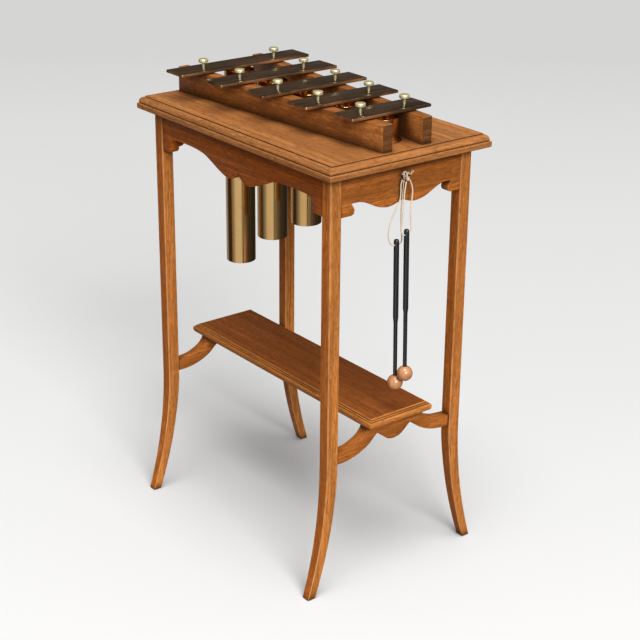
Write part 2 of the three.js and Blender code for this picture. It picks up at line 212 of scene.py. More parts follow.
def cut_with(obj, tools):
    """Subtracts the tool objects from obj and deletes them."""
    for tool in tools:
        modifier = obj.modifiers.new("cut", "BOOLEAN")
        modifier.operation = "DIFFERENCE"
        modifier.solver = "EXACT"
        modifier.object = tool
    bpy.context.view_layer.update()
    evaluated = obj.evaluated_get(bpy.context.evaluated_depsgraph_get())
    mesh = bpy.data.meshes.new_from_object(evaluated)
    obj.modifiers.clear()
    obj.data = mesh
    for tool in tools:
        bpy.data.objects.remove(tool)
    return obj


def rod(center, radius, low, high, sides, axis="Z"):
    """A round cutting tool along Z or Y, in metres."""
    verts, faces = turned([(0, low), (radius, low), (radius, high), (0, high)], sides)
    spin = Matrix.Rotation(math.pi / 2, 4, "X") if axis == "Y" else Matrix.Identity(4)
    return build("tool", move(verts, Matrix.Translation(center) @ spin), faces, [])


def round_edges(obj, width, angle):
    """Rounds the edges of a mesh object that are sharper than the angle in degrees."""
    bm = bmesh.new()
    bm.from_mesh(obj.data)
    bmesh.ops.recalc_face_normals(bm, faces=bm.faces)
    sharp = [e for e in bm.edges if e.is_manifold and e.calc_face_angle(0) > math.radians(angle)]
    bmesh.ops.bevel(bm, geom=sharp, offset=width, offset_type="OFFSET", segments=2,
                    profile=0.5, affect="EDGES", clamp_overlap=True)
    bm.to_mesh(obj.data)
    bm.free()
    return obj


# ------------------------------------------------------------------ node helpers
class Nodes:
    """A short way to add nodes to a node tree and join them."""

    def __init__(self, tree):
        self.tree = tree

    def add(self, kind, **settings):
        node = self.tree.nodes.new(kind)
        for key, value in settings.items():
            setattr(node, key, value)
        return node

    def join(self, a, b):
        self.tree.links.new(a, b)

    def put(self, socket, value):
        """Joins a node's output to a socket, or sets the socket to a plain value."""
        if isinstance(value, bpy.types.NodeSocket):
            self.join(value, socket)
        else:
            socket.default_value = value

    def coords(self, scale, rotation=(0, 0, 0), location=(0, 0, 0), source=None):
        """Object coordinates in metres, turned, moved and scaled."""
        node = self.add("ShaderNodeMapping")
        node.inputs["Scale"].default_value = scale
        node.inputs["Rotation"].default_value = rotation
        node.inputs["Location"].default_value = location
        self.join(source or self.add("ShaderNodeTexCoord").outputs["Object"], node.inputs["Vector"])
        return node.outputs[0]

    def noise(self, vector, scale=1.0, detail=2.0, rough=0.5, distortion=0.0):
        node = self.add("ShaderNodeTexNoise")
        self.join(vector, node.inputs["Vector"])
        node.inputs["Scale"].default_value = scale
        node.inputs["Detail"].default_value = detail
        node.inputs["Roughness"].default_value = rough
        node.inputs["Distortion"].default_value = distortion
        return node.outputs["Fac"]

    def ramp(self, value, stops, eased=False):
        """Maps a value through stops of (position, grey level or colour)."""
        node = self.add("ShaderNodeValToRGB")
        ramp = node.color_ramp
        ramp.interpolation = "EASE" if eased else "LINEAR"
        while len(ramp.elements) < len(stops):
            ramp.elements.new(0.5)
        for element, (position, colour) in zip(ramp.elements, stops):
            element.position = position
            element.color = (*colour, 1) if isinstance(colour, tuple) else (colour, colour, colour, 1)
        self.join(value, node.inputs[0])
        return node.outputs[0]

    def math(self, operation, a, b):
        node = self.add("ShaderNodeMath", operation=operation)
        self.put(node.inputs[0], a)
        self.put(node.inputs[1], b)
        return node.outputs[0]

    def mix(self, factor, a, b):
        node = self.add("ShaderNodeMix", data_type="RGBA", blend_type="MIX")
        self.put(node.inputs["Factor"], factor)
        self.put(node.inputs[6], (*a, 1) if isinstance(a, tuple) else a)
        self.put(node.inputs[7], (*b, 1) if isinstance(b, tuple) else b)
        return node.outputs[2]

    def stain(self, colour, mask, amount, other):
        """Lays another colour over a colour, where the mask says and as strongly as the amount; used for
        grain, tarnish and wear, and also for painted shade.
        """
        return self.mix(self.math("MULTIPLY", mask, amount), colour, other)

    def occlusion_shade_mask(self, distance, stops):
        """A painted-shade mask from ambient occlusion: the places that are shut in by surfaces nearer than
        the distance.
        """
        node = self.add("ShaderNodeAmbientOcclusion", samples=6)
        node.inputs["Distance"].default_value = distance
        return self.ramp(node.outputs["AO"], stops)

    def bump(self, height, strength, distance):
        node = self.add("ShaderNodeBump")
        node.inputs["Strength"].default_value = strength
        node.inputs["Distance"].default_value = distance
        self.join(height, node.inputs["Height"])
        return node.outputs[0]


class Finish(Nodes):
    """A new material: one Principled shader, fed by the nodes."""

    def __init__(self, name):
        self.material = bpy.data.materials.new(name)
        self.material.use_nodes = True
        super().__init__(self.material.node_tree)
        self.tree.nodes.clear()
        self.shader = self.add("ShaderNodeBsdfPrincipled")
        out = self.add("ShaderNodeOutputMaterial")
        self.join(self.shader.outputs[0], out.inputs[0])

    def set(self, **values):
        for key, value in values.items():
            self.put(self.shader.inputs[key.replace("_", " ")], value)


def times(colour, red, green=None, blue=None):
    """A colour multiplied by one factor, or by one for each channel."""
    factors = (red, red if green is None else green, red if blue is None else blue)
    return tuple(min(1, c * f) for c, f in zip(colour, factors))


# ------------------------------------------------------------------ materials
GRAIN_TURN = {"X": (0, 0, 0), "Y": (0, 0, math.pi / 2), "Z": (0, math.pi / 2, 0)}


def oak(name, grain, base, flecks=0.0, wear_and_highlight=0.0, seed=0.0):
    """Waxed oak with its grain along an axis: broad figure, growth bands, open pores and ray flecks, with
    painted shade under the mouldings and in corners.
    """
    n = Finish(name)
    plain = n.coords((1, 1, 1), GRAIN_TURN[grain], (seed, seed * 0.7, seed * 1.3))
    wander = n.noise(n.coords((1.6, 9, 9), source=plain), 1, 2)
    bend = n.add("ShaderNodeVectorMath", operation="MULTIPLY_ADD")
    n.join(wander, bend.inputs[0])
    bend.inputs[1].default_value = (0.0, 0.03, 0.03)
    n.join(plain, bend.inputs[2])
    wood = bend.outputs[0]
    broad = n.noise(n.coords((1.2, 9, 9), source=wood), 1, 3)
    bands = n.noise(n.coords((2.2, 95, 95), source=wood), 1, 3, 0.6)
    streaks = n.noise(n.coords((7, 420, 420), source=wood), 1, 3, 0.65)
    pores = n.noise(n.coords((55, 1500, 1500), source=wood), 1, 1, 0.4)
    cells = n.noise(n.coords((80, 330, 330), source=wood), 1, 2, 0.5, 0.6)
    speckle = n.noise(n.coords((70, 300, 300), location=(5, 1, 3), source=wood), 1, 2, 0.6, 0.4)

    dark = times(base, 0.60, 0.52, 0.42)
    light = times(base, 1.25, 1.24, 1.18)
    pore_mask = n.ramp(pores, [(0.30, 1), (0.40, 0)])
    colour = n.mix(n.ramp(bands, [(0.40, 0), (0.60, 1)]), times(base, 0.80), light)
    colour = n.stain(colour, n.ramp(broad, [(0.38, 1), (0.62, 0)], True), 0.42, dark)
    colour = n.stain(colour, n.ramp(streaks, [(0.42, 1), (0.54, 0)]), 0.62, dark)
    colour = n.stain(colour, n.ramp(speckle, [(0.36, 1), (0.48, 0)]), 0.55, times(base, 0.42, 0.34, 0.26))
    colour = n.stain(colour, pore_mask, 0.6, times(base, 0.3))
    if flecks:
        colour = n.stain(colour, n.ramp(cells, [(0.60, 0), (0.70, 1)]), flecks, times(base, 1.75))
    # Lighter arrises: wear together with a painted highlight where the arris catches the light.
    if wear_and_highlight:
        patch = n.noise(n.coords((40, 40, 40), source=plain), 1, 3)
        colour = n.stain(colour, n.ramp(patch, [(0.35, 0.3), (0.65, 1)]), wear_and_highlight, times(base, 1.7, 1.9, 2.2))
    # Painted shade: the wood is darkened where surfaces shut it in, a broad painted shadow under the
    # mouldings and painted shade in the quirks and corners.
    painted_moulding_shadow = n.occlusion_shade_mask(0.03, [(0.56, 1), (0.80, 0)])
    colour = n.stain(colour, painted_moulding_shadow, 0.9, times(base, 0.12, 0.10, 0.08))
    painted_corner_shade = n.occlusion_shade_mask(0.005, [(0.4, 1), (0.92, 0)])
    colour = n.stain(colour, painted_corner_shade, 0.75, times(base, 0.2))
    rough = n.math("ADD", n.math("MULTIPLY", streaks, 0.22), 0.31)
    rough = n.math("ADD", rough, n.math("MULTIPLY", pore_mask, 0.2))
    height = n.math("ADD", n.math("MULTIPLY", streaks, 0.5), n.math("MULTIPLY", pore_mask, -0.6))
    n.set(Base_Color=colour, Roughness=rough, Normal=n.bump(height, 0.35, 0.0006))
    n.set(Specular_IOR_Level=0.22, Coat_Weight=0.03, Coat_Roughness=0.3)
    return n.material


def brass(name, base, rough=0.13, tarnish=0.35, metallic=1.0):
    """Polished brass with a light bloom and fine polishing marks, and painted shade that darkens it deep
    within a tube.
    """
    n = Finish(name)
    spots = n.noise(n.coords((60, 60, 60)), 1, 4, 0.6)
    fine = n.noise(n.coords((500, 500, 40)), 1, 2)
    film = n.noise(n.coords((14, 14, 5), location=(3, 1, 2)), 1, 3, 0.6)
    dull = times(base, 0.72, 0.60, 0.42)
    colour = n.stain(base, n.ramp(film, [(0.4, 0), (0.7, 1)], True), tarnish, dull)
    colour = n.stain(colour, n.ramp(spots, [(0.62, 0), (0.74, 1)]), 0.35, times(dull, 0.5))
    # Painted shade: ambient occlusion darkens the metal deep within the tube.
    painted_tube_shade = n.occlusion_shade_mask(0.035, [(0.22, 1), (0.42, 0)])
    colour = n.stain(colour, painted_tube_shade, 0.9, times(base, 0.14))
    roughness = n.math("ADD", n.math("MULTIPLY", film, 0.12), rough - 0.06)
    roughness = n.math("ADD", roughness, n.math("MULTIPLY", fine, 0.05))
    n.set(Base_Color=colour, Roughness=roughness, Normal=n.bump(fine, 0.05, 0.0002), Metallic=metallic)
    return n.material


def bar_finish(name, base, rough, metallic, streak):
    """Dark brown lacquered metal with faint drawn streaks along Y and small marks."""
    n = Finish(name)
    drawn = n.noise(n.coords((220, 6, 60)), 1, 3, 0.6)
    cloud = n.noise(n.coords((22, 9, 22)), 1, 4, 0.62)
    marks = n.noise(n.coords((240, 240, 240)), 1, 2)
    colour = n.stain(base, n.ramp(cloud, [(0.4, 0), (0.68, 1)], True), 0.75, times(base, 5.5, 4.6, 3.8))
    colour = n.stain(colour, n.ramp(drawn, [(0.5, 0), (0.7, 1)]), streak, times(base, 6.0, 5.4, 4.6))
    colour = n.stain(colour, n.ramp(marks, [(0.66, 0), (0.74, 1)]), 0.3, (0.16, 0.11, 0.07))
    roughness = n.math("ADD", n.math("MULTIPLY", cloud, 0.16), rough - 0.06)
    n.set(Base_Color=colour, Roughness=roughness, Normal=n.bump(drawn, 0.04, 0.0002), Metallic=metallic)
    n.set(Coat_Weight=0.3, Coat_Roughness=0.08)
    return n.material


def fibre(name, base, scale=900.0, strength=0.6, depth=0.0006):
    """Felt or cotton: fine tangled fibres and uneven colour."""
    n = Finish(name)
    hairs = n.noise(n.coords((1, 1, 1)), scale, 4, 0.7, 1.5)
    patch = n.noise(n.coords((1, 1, 1), location=(4, 2, 7)), scale * 0.12, 3)
    colour = n.mix(n.ramp(hairs, [(0.35, 1), (0.65, 0)]), times(base, 1.15), times(base, 0.66))
    colour = n.stain(colour, n.ramp(patch, [(0.4, 0), (0.65, 1)]), 0.35, times(base, 0.78, 0.68, 0.55))
    n.set(Base_Color=colour, Roughness=0.92, Normal=n.bump(hairs, strength, depth))
    n.set(Sheen_Weight=0.3, Sheen_Roughness=0.5)
    return n.material


def lacquer(name):
    """Ebonised wood: near black with faint grain, rubbed satin."""
    n = Finish(name)
    grain = n.noise(n.coords((420, 420, 18)), 1, 3, 0.6)
    rubbed = n.noise(n.coords((60, 60, 25), location=(1, 5, 2)), 1, 3)
    colour = n.mix(n.ramp(grain, [(0.42, 0), (0.62, 1)]), (0.008, 0.0085, 0.010), (0.017, 0.017, 0.019))
    colour = n.stain(colour, n.ramp(rubbed, [(0.6, 0), (0.75, 1)]), 0.3, (0.035, 0.03, 0.027))
    roughness = n.math("ADD", n.math("MULTIPLY", rubbed, 0.2), 0.22)
    n.set(Base_Color=colour, Roughness=roughness, Normal=n.bump(grain, 0.12, 0.0003))
    n.set(Coat_Weight=0.25, Coat_Roughness=0.2)
    return n.material


def turned_wood(name):
    """Pale varnished wood, turned with the grain along Z."""
    n = Finish(name)
    grain = n.noise(n.coords((170, 170, 22)), 1, 3, 0.6, 0.4)
    pores = n.noise(n.coords((900, 900, 160)), 1, 2)
    cloud = n.noise(n.coords((45, 45, 45)), 1, 2)
    colour = n.mix(n.ramp(grain, [(0.36, 0), (0.64, 1)]), (0.48, 0.20, 0.082), (0.60, 0.285, 0.135))
    colour = n.stain(colour, n.ramp(cloud, [(0.42, 0), (0.66, 1)], True), 0.5, (0.42, 0.16, 0.06))
    colour = n.stain(colour, n.ramp(pores, [(0.32, 1), (0.42, 0)]), 0.4, (0.32, 0.13, 0.05))
    roughness = n.math("ADD", n.math("MULTIPLY", grain, 0.1), 0.22)
    n.set(Base_Color=colour, Roughness=roughness, Normal=n.bump(grain, 0.08, 0.0003))
    n.set(Coat_Weight=0.5, Coat_Roughness=0.12)
    return n.material


OAK = (0.52, 0.190, 0.044)
# Painted shade: a darker copy of the oak for the leg faces turned along Y.
OAK_SHADED_SIDE = (0.48, 0.145, 0.024)
OAK_APRON = (0.43, 0.138, 0.026)
# Painted shade: a darker copy of the apron oak for the long aprons, which face along Y.
OAK_APRON_LONG_SHADED = (0.43, 0.108, 0.014)
OAK_TOP = (0.44, 0.178, 0.055)
OAK_RAIL = (0.35, 0.125, 0.030)
# Painted shade: a darker copy of the oak for the shelf's face, which lies under the table top.
OAK_SHELF_SHADED = (0.29, 0.083, 0.015)
OAK_END = (0.14, 0.053, 0.016)
top_x = oak("oak_top_x", "X", OAK_TOP, flecks=0.08, seed=0.3)
edge_x = oak("oak_edge_x", "X", OAK_TOP, flecks=0.3, seed=1.7)
edge_y = oak("oak_edge_y", "Y", OAK_TOP, flecks=0.3, seed=2.1)
leg_z = oak("oak_leg_z", "Z", OAK, flecks=0.3, seed=3.3)
leg_shaded_side = oak("oak_leg_shaded_side", "Z", OAK_SHADED_SIDE, flecks=0.3, seed=4.4)
leg_arris_wear_and_highlight = oak("oak_leg_arris_wear_and_highlight", "Z", OAK_TOP, flecks=0.2, wear_and_highlight=0.5, seed=3.9)
apron_long_shaded = oak("oak_apron_x", "X", OAK_APRON_LONG_SHADED, flecks=0.16, seed=5.1)
apron_y = oak("oak_apron_y", "Y", OAK_APRON, flecks=0.16, seed=6.2)
shelf_shaded = oak("oak_shelf_shaded", "X", OAK_SHELF_SHADED, flecks=0.06, seed=7.4)
shelf_edge_x = oak("oak_shelf_edge_x", "X", OAK, flecks=0.2, seed=8.1)
shelf_edge_y = oak("oak_shelf_edge_y", "Y", OAK, flecks=0.2, seed=8.8)
rail_x = oak("oak_rail_x", "X", OAK_RAIL, flecks=0.45, seed=9.2)
rail_end = oak("oak_rail_end", "Y", OAK_END, flecks=0.1, seed=9.9)
brass_tube = brass("brass_tube", base=(0.88, 0.56, 0.23))
brass_pin = brass("brass_pin", base=(1.0, 0.88, 0.50), rough=0.22, tarnish=0.1, metallic=0.7)
nail_metal = brass("nail_metal", base=(0.42, 0.28, 0.13), rough=0.32, tarnish=0.8)
bar_dark = bar_finish("bar_dark", (0.017, 0.009, 0.005), 0.2, 0.4, streak=0.8)
bar_edge = bar_finish("bar_edge", (0.16, 0.095, 0.045), 0.34, 0.85, streak=0.3)
felt_grey = fibre("felt_grey", (0.20, 0.21, 0.17))
cotton = fibre("cotton", (0.80, 0.66, 0.50), scale=1400.0, strength=0.5, depth=0.0004)
black = lacquer("black_lacquer")
ball_wood = turned_wood("ball_wood")

# ------------------------------------------------------------------ string loops and knots
LOOP_A = [
    (267.4, NAIL_Y - 5, 755), (266.8, -6.6, 746), (266.2, -6, 733), (265.6, -6.8, 720),
    (265.2, -13.6, 706), (263.5, -20.8, 690), (261.5, -25.5, 672), (259.6, -25.2, 655),
    (258.4, -20.4, 643.5), (258, -16.1, 638.2), (258, -11.7, 636.8), HOLE_A, (258, 1.3, 636.8),
    (258.2, 4.9, 639.2), (258.8, 5.8, 645), (260.2, 3.1, 660), (262.6, -0.3, 680), (265.2, -2.8, 706),
    (266.4, -2, 730), (267.3, NAIL_Y - 1.4, 752.8),
]
LOOP_B = [
    (275.8, NAIL_Y - 3.4, 753.4), (275.8, -4.4, 744.8), (275.8, -6.1, 732.5), (275.9, -7.1, 714.8),
    (275.9, -7.8, 696), (276, -9.3, 679.1), (276, -10, 666.8), (276, -8.6, 661.2),
    (276, -4.9, 658.8), HOLE_B, (276, 7.4, 658.8), (276, 10.9, 661.2), (276, 11.6, 667.3),
    (275.9, 8.9, 694.5), (275.9, 10.4, 716.7), (275.8, 11.5, 737.5), (275.8, NAIL_Y + 5, 755),
]


def spline(points, spacing):
    """A centripetal Catmull-Rom curve through the points, in even steps."""
    pts = [Vector(p) for p in points]
    pts = [pts[0] * 2 - pts[1], *pts, pts[-1] * 2 - pts[-2]]
    line = []
    for p0, p1, p2, p3 in zip(pts, pts[1:], pts[2:], pts[3:]):
        t0 = 0.0
        t1 = t0 + math.sqrt((p1 - p0).length)
        t2 = t1 + math.sqrt((p2 - p1).length)
        t3 = t2 + math.sqrt((p3 - p2).length)
        for k in range(24):
            t = t1 + (t2 - t1) * k / 24
            a1 = p0 * ((t1 - t) / (t1 - t0)) + p1 * ((t - t0) / (t1 - t0))
            a2 = p1 * ((t2 - t) / (t2 - t1)) + p2 * ((t - t1) / (t2 - t1))
            a3 = p2 * ((t3 - t) / (t3 - t2)) + p3 * ((t - t2) / (t3 - t2))
            b1 = a1 * ((t2 - t) / (t2 - t0)) + a2 * ((t - t0) / (t2 - t0))
            b2 = a2 * ((t3 - t) / (t3 - t1)) + a3 * ((t - t1) / (t3 - t1))
            line.append(b1 * ((t2 - t) / (t2 - t1)) + b2 * ((t - t1) / (t2 - t1)))
    line.append(pts[-2])
    lengths = [0.0]
    for a, b in zip(line, line[1:]):
        lengths.append(lengths[-1] + (b - a).length)
    count = max(4, round(lengths[-1] / spacing))
    even, j = [], 0
    for k in range(count + 1):
        s = lengths[-1] * k / count
        while j < len(line) - 2 and lengths[j + 1] < s:
            j += 1
        span = lengths[j + 1] - lengths[j]
        even.append(line[j].lerp(line[j + 1], (s - lengths[j]) / span if span else 0))
    return even, lengths[-1]


def rope(points, radius, spacing=0.0008, sides=15, pitch=0.0075, lobes=3, taper=0.0):
    """A laid string along the points: three strands that turn round each other."""
    line, length = spline(points, spacing)
    verts, faces = [], []
    tangent = (line[1] - line[0]).normalized()
    normal = tangent.orthogonal().normalized()
    travelled = 0.0
    for i, p in enumerate(line):
        ahead = line[min(i + 1, len(line) - 1)] - line[max(i - 1, 0)]
        new_tangent = ahead.normalized()
        normal = (normal - new_tangent * normal.dot(new_tangent)).normalized()
        side = new_tangent.cross(normal)
        if i:
            travelled += (p - line[i - 1]).length
        twist = 2 * math.pi * travelled / pitch
        shrink = 1 - taper * i / (len(line) - 1)
        for k in range(sides):
            a = 2 * math.pi * k / sides
            r = radius * shrink * (0.86 + 0.2 * abs(math.cos(lobes * (a - twist) / 2)))
            verts.append(p + normal * (r * math.cos(a)) + side * (r * math.sin(a)))
    for i in range(len(line) - 1):
        for k in range(sides):
            a, b = i * sides + k, i * sides + (k + 1) % sides
            faces.append([a, b, b + sides, a + sides])
    faces.append(list(range(sides))[::-1])
    faces.append(list(range(len(verts) - sides, len(verts))))
    return verts, faces, line, length


def merge(parts):
    """The vertices and faces of several parts as one mesh."""
    verts, faces = [], []
    for v, f in parts:
        offset = len(verts)
        verts += v
        faces += [[i + offset for i in face] for face in f]
    return verts, faces


def frayed(start, direction, length, radius, count, spread):
    """A loose cut end: a short stub of string and its fibres fanning out of it."""
    parts = []
    stub = [start, start + direction * (length * 0.25), start + direction * (length * 0.5)]
    parts.append(rope(stub, radius)[:2])
    side = direction.orthogonal().normalized()
    other = direction.cross(side)
    for k in range(count):
        a = 2 * math.pi * k / count + RNG.uniform(-0.3, 0.3)
        out = (side * math.cos(a) + other * math.sin(a)) * RNG.uniform(0.3, 1.0)
        base = stub[1] + out * radius * 0.7
        middle = start + direction * (length * 0.68) + out * spread * 0.45
        tip = start + direction * (length * RNG.uniform(0.86, 1.05)) + out * spread
        parts.append(rope([base, middle, tip], radius * 0.2, 0.0015, 5, 0.01, 2, 0.5)[:2])
    return parts


def knot(name, x, body, node, tails):
    """One and a quarter turns round the nail, the tight overhand knot under it, and the cut ends."""
    turn_radius = 2.9
    turn_steps = 18
    lump_steps = 36
    turn = []
    for k in range(turn_steps + 1):
        a = 2 * math.pi * 1.25 * k / turn_steps - math.pi * 0.75
        across = x - 1.2 + 2.4 * k / turn_steps
        turn.append(at(across, NAIL_Y + turn_radius * math.sin(a), NAIL_Z + turn_radius * math.cos(a)))
    lump = []
    for k in range(lump_steps + 1):
        t = 2 * math.pi * k / lump_steps
        lump.append(at(
            x + 1.3 * -math.sin(3 * t),
            NAIL_Y + 1.0 * (math.sin(t) + 2 * math.sin(2 * t)),
            NAIL_Z - 6.0 + 1.25 * (math.cos(t) - 2 * math.cos(2 * t))))
    parts = [rope(turn, CORD_D / 2)[:2], rope(lump, CORD_D / 2)[:2]]
    for (dx, dy, dz), (ox, oy, oz), length, spread in tails:
        direction = Vector((dx, dy, dz)).normalized()
        start = at(x + ox, NAIL_Y + oy, NAIL_Z + oz)
        parts += frayed(start, direction, length * MM, CORD_D / 2 * 0.9, 22, spread * MM)
    verts, faces = merge(parts)
    return place_piece(build(name, verts, faces, [cotton], angle=70), body, "cotton", node)


def string_loop(name, points, body, node):
    """One string, from its knot down to the eye of its beater and back up."""
    path = [at(*p) for p in points]
    verts, faces, line, length = rope(path, CORD_D / 2)
    piece = place_piece(build(name, verts, faces, [cotton], angle=70), body, "cotton", node)


knot_a = knot("string_knot_a", 268, "loop_a", "knot_a", [
    ((0.25, -0.85, 0.5), (1, -1, -3), 10, 2.4), ((0.2, 0.6, -0.7), (1, 0, -6), 8, 1.6)])
knot_b = knot("string_knot_b", 275.5, "loop_b", "knot_b", [
    ((0.05, 0.72, 0.68), (1.5, 0.5, -3.4), 14, 3.4), ((0.3, -0.9, 0.35), (1, -1, -3), 10, 2.4)])
string_loop("string_a", LOOP_A, "loop_a", "string_loop_a")
string_loop("string_b", LOOP_B, "loop_b", "string_loop_b")


# ------------------------------------------------------------------ table top and shelf
def moulded_board(name, half, base_z, profile, mats):
    """A board with a moulded edge and mitred corners. Materials: face, long edges, end edges."""
    half_x, half_y = half
    flat_from = len(profile) - 2
    verts, faces, face_mats = [], [], []
    for out, z in profile:
        for sx, sy in ((-1, -1), (1, -1), (1, 1), (-1, 1)):
            verts.append(at(sx * (half_x + out), sy * (half_y + out), base_z + z))
    for i in range(len(profile) - 1):
        for k in range(4):
            a, b = i * 4 + k, i * 4 + (k + 1) % 4
            faces.append([a, b, b + 4, a + 4])
            face_mats.append(0 if i >= flat_from else (1 if k in (0, 2) else 2))
    faces.append([3, 2, 1, 0])
    face_mats.append(0)
    last = len(verts) - 4
    faces.append([last, last + 1, last + 2, last + 3])
    face_mats.append(0)
    return build(name, verts, faces, mats, face_mats, angle=28)


# The edge mouldings, as (distance out from the edge, height above the underside).
TOP_PROFILE = fillet([
    (-1.6, 0), (0, 1.4), (0, 9.2), (-0.9, 10.6), (-3.6, 11.1), (-3.6, 12.0), (-2.5, 12.4), (-2.7, 14.6),
    (-3.7, 17.6), (-5.6, 20.3), (-8.2, 22.0), (-10.6, 22.4), (-11.8, 22.2), (-11.9, 22.9), (-11.2, 23.9),
    (-11.8, 24.5), (-12.8, 24.5),
], [0, 0.8, 0.9, 0.5, 0.15, 0.15, 0.3, 1, 1, 1, 1, 0.3, 0.15, 0.15, 0.3, 0.3, 0], 4, closed=False)
top = moulded_board("oak_table_top", TOP_HALF, TOP_UNDERSIDE_Z, TOP_PROFILE, [top_x, edge_x, edge_y])
top = cut_with(top, [rod(at(x, 0, 797), BORE_RADIUS * MM, -0.03, 0.03, 72) for x in BAR_X])
smooth(top, 28)
place_piece(top, "table", "oak_top", "table_top")

SHELF_PROFILE = fillet([
    (-4.6, 0), (-1.6, 1.6), (0, 6.0), (0, 10.2), (-1.2, 12.6), (-2.4, 13.3), (-4.4, 13.2), (-4.4, 14.0),
    (-3.8, 14.6), (-5.0, 15.5), (-7.2, 15.3), (-7.2, 16.0), (-6.9, 16.9), (-8.2, 17.9), (-9.4, 18), (-10, 18),
], [0, 1.2, 1.6, 1.6, 0.8, 0.4, 0.15, 0.15, 0.3, 0.5, 0.15, 0.15, 0.5, 0.5, 0.2, 0], 4, closed=False)
shelf = moulded_board("oak_shelf", SHELF_HALF, SHELF_Z, SHELF_PROFILE, [shelf_shaded, shelf_edge_x, shelf_edge_y])
place_piece(shelf, "table", "oak_top", "undershelf")


# ------------------------------------------------------------------ legs
FOOT_TUCK = {0.8: 0.6, 0: 1.6}  # how far the foot's lowest edge is rounded in, by height
END_FACE, ARRIS, SIDE_FACE = range(3)
LEG_STRIPS = [END_FACE, ARRIS, SIDE_FACE, ARRIS] * 2  # the leg's faces in turn, from the one facing +X


def leg(name, sx, sy, node):
    """A square leg whose arrises are lighter with wear and a painted highlight, and whose faces turned along
    Y carry painted shade; its foot sweeps out along Y and tapers.
    """
    h = LEG_SIZE / 2
    c = h - LEG_ARRIS
    section = [(h, -c), (h, c), (c, h), (-c, h), (-h, c), (-h, -c), (-c, -h), (c, -h)]
    bend = [LEG_BEND_Z - LEG_BEND_Z * k / 30 for k in range(30)]
    heights = [TOP_UNDERSIDE_Z, 600, 420, *bend, 2.4, *FOOT_TUCK]
    verts, faces, face_mats = [], [], []
    for z in heights:
        size = LEG_SIZE - LEG_TAPER * max(0, LEG_TAPER_Z - z) / LEG_TAPER_Z
        sweep = LEG_SWEEP * (max(0, LEG_BEND_Z - z) / LEG_BEND_Z) ** 2
        k = (size - 2 * FOOT_TUCK.get(z, 0)) / LEG_SIZE
        x = sx * (LEG_CORNER[0] - size / 2)
        y = sy * (LEG_CORNER[1] + sweep - size / 2)
        for u, v in section:
            verts.append(at(x + u * k, y + v * k, z))
    n = len(section)
    for i in range(len(heights) - 1):
        for k in range(n):
            a, b = i * n + k, i * n + (k + 1) % n
            faces.append([a, b, b + n, a + n])
            face_mats.append(LEG_STRIPS[k])
    faces += [list(range(n)), list(range(len(verts) - n, len(verts)))]
    face_mats += [END_FACE, END_FACE]
    obj = build(name, verts, faces, [leg_z, leg_arris_wear_and_highlight, leg_shaded_side], face_mats, angle=25)
    place_piece(obj, "table", "oak_frame", node)


for end, sx in (("far", -1), ("near", 1)):
    for side, sy in (("front", -1), ("back", 1)):
        leg(f"oak_leg_{end}_{side}", sx, sy, f"leg_{end}_{side}")


# ------------------------------------------------------------------ aprons and stretchers
def smooth_run(points, steps=5):
    """A smooth curve through the points, or the straight line between two."""
    if len(points) == 2:
        return [Vector(p) for p in points]
    flat = [Vector((x, y, 0)) for x, y in points]
    straight = sum((b - a).length for a, b in zip(flat, flat[1:]))
    line, _ = spline(flat, straight / (steps * (len(flat) - 1)))
    return [Vector((p.x, p.y)) for p in line]


def mirrored(runs):
    """A closed outline from the runs of one half, joined by sharp corners."""
    half = [p for run in runs for p in smooth_run(run)]
    outline = half + [Vector((-p.x, p.y)) for p in reversed(half)]
    return [p for i, p in enumerate(outline) if (p - outline[i - 1]).length > 0.05]


def board_on_edge(name, outline, across, planes, sign, mat, node, width=0.9):
    """An upright board cut to an outline of (distance, height), facing X if across, else Y."""
    verts, faces = [], []
    n = len(outline)
    for depth in sorted(sign * plane for plane in planes):
        for p in outline:
            verts.append(at(depth, p.x, p.y) if across else at(p.x, depth, p.y))
    for k in range(n):
        faces.append([k, (k + 1) % n, n + (k + 1) % n, n + k])
    faces += [list(range(n))[::-1], list(range(n, 2 * n))]
    obj = build(name, verts, faces, [mat])
    round_edges(obj, width * MM, 40)
    smooth(obj, 32)
    place_piece(obj, "table", "oak_frame", node)


END_APRON = mirrored([
    [(131.65, 785.45), (131.65, 711)],
    [(110, 711), (105.3, 713.7), (103.5, 720), (106, 726), (110, 731)],
    [(108, 731.7), (92, 731.5), (79.7, 727.7), (66.6, 721.4), (54, 715.5), (42, 712.2),
     (28, 710.8), (13.5, 713.7), (0, 718.7)],
])
LONG_APRON = mirrored([
    [(241.15, 785.45), (241.15, 712)],
    [(219.5, 712), (215, 716), (213.3, 722), (211.5, 732.5)],
    [(209, 736), (200, 739.5), (185, 740.5), (140, 740.5), (106, 736.7), (83, 728.6),
     (61, 719), (40.5, 712), (31.5, 710.6), (20, 711.7), (10, 716.4), (0, 724.5)],
])
STRETCHER = mirrored([
    [(0, 308.7), (61, 308.7)],
    [(61.5, 308), (65.7, 299.7), (72, 292.5), (79, 287.5), (91, 281.7), (101.7, 278),
     (113.4, 276.3), (131.65, 274.5)],
    [(131.65, 253.5), (112.5, 254), (101.7, 255.6), (90, 258.3), (79, 262),
     (67.5, 267.3), (56, 274.5), (45, 285), (39.6, 288.5)],
    [(39.4, 288.4), (33.3, 285.3), (25.2, 278), (13.5, 270), (0, 267.3)],
])
ENDS = (("near", 1), ("far", -1))
SIDES = (("front", -1), ("back", 1))
for end, sign in ENDS:
    board_on_edge(f"oak_apron_{end}", END_APRON, True, APRON_END_X, sign, apron_y, f"apron_{end}_end")
for side, sign in SIDES:
    board_on_edge(f"oak_apron_{side}", LONG_APRON, False, APRON_LONG_Y, sign, apron_long_shaded, f"apron_{side}")
for end, sign in ENDS:
    board_on_edge(f"oak_stretcher_{end}", STRETCHER, True, STRETCHER_X, sign, apron_y,
                  f"stretcher_{end}", 1.2)


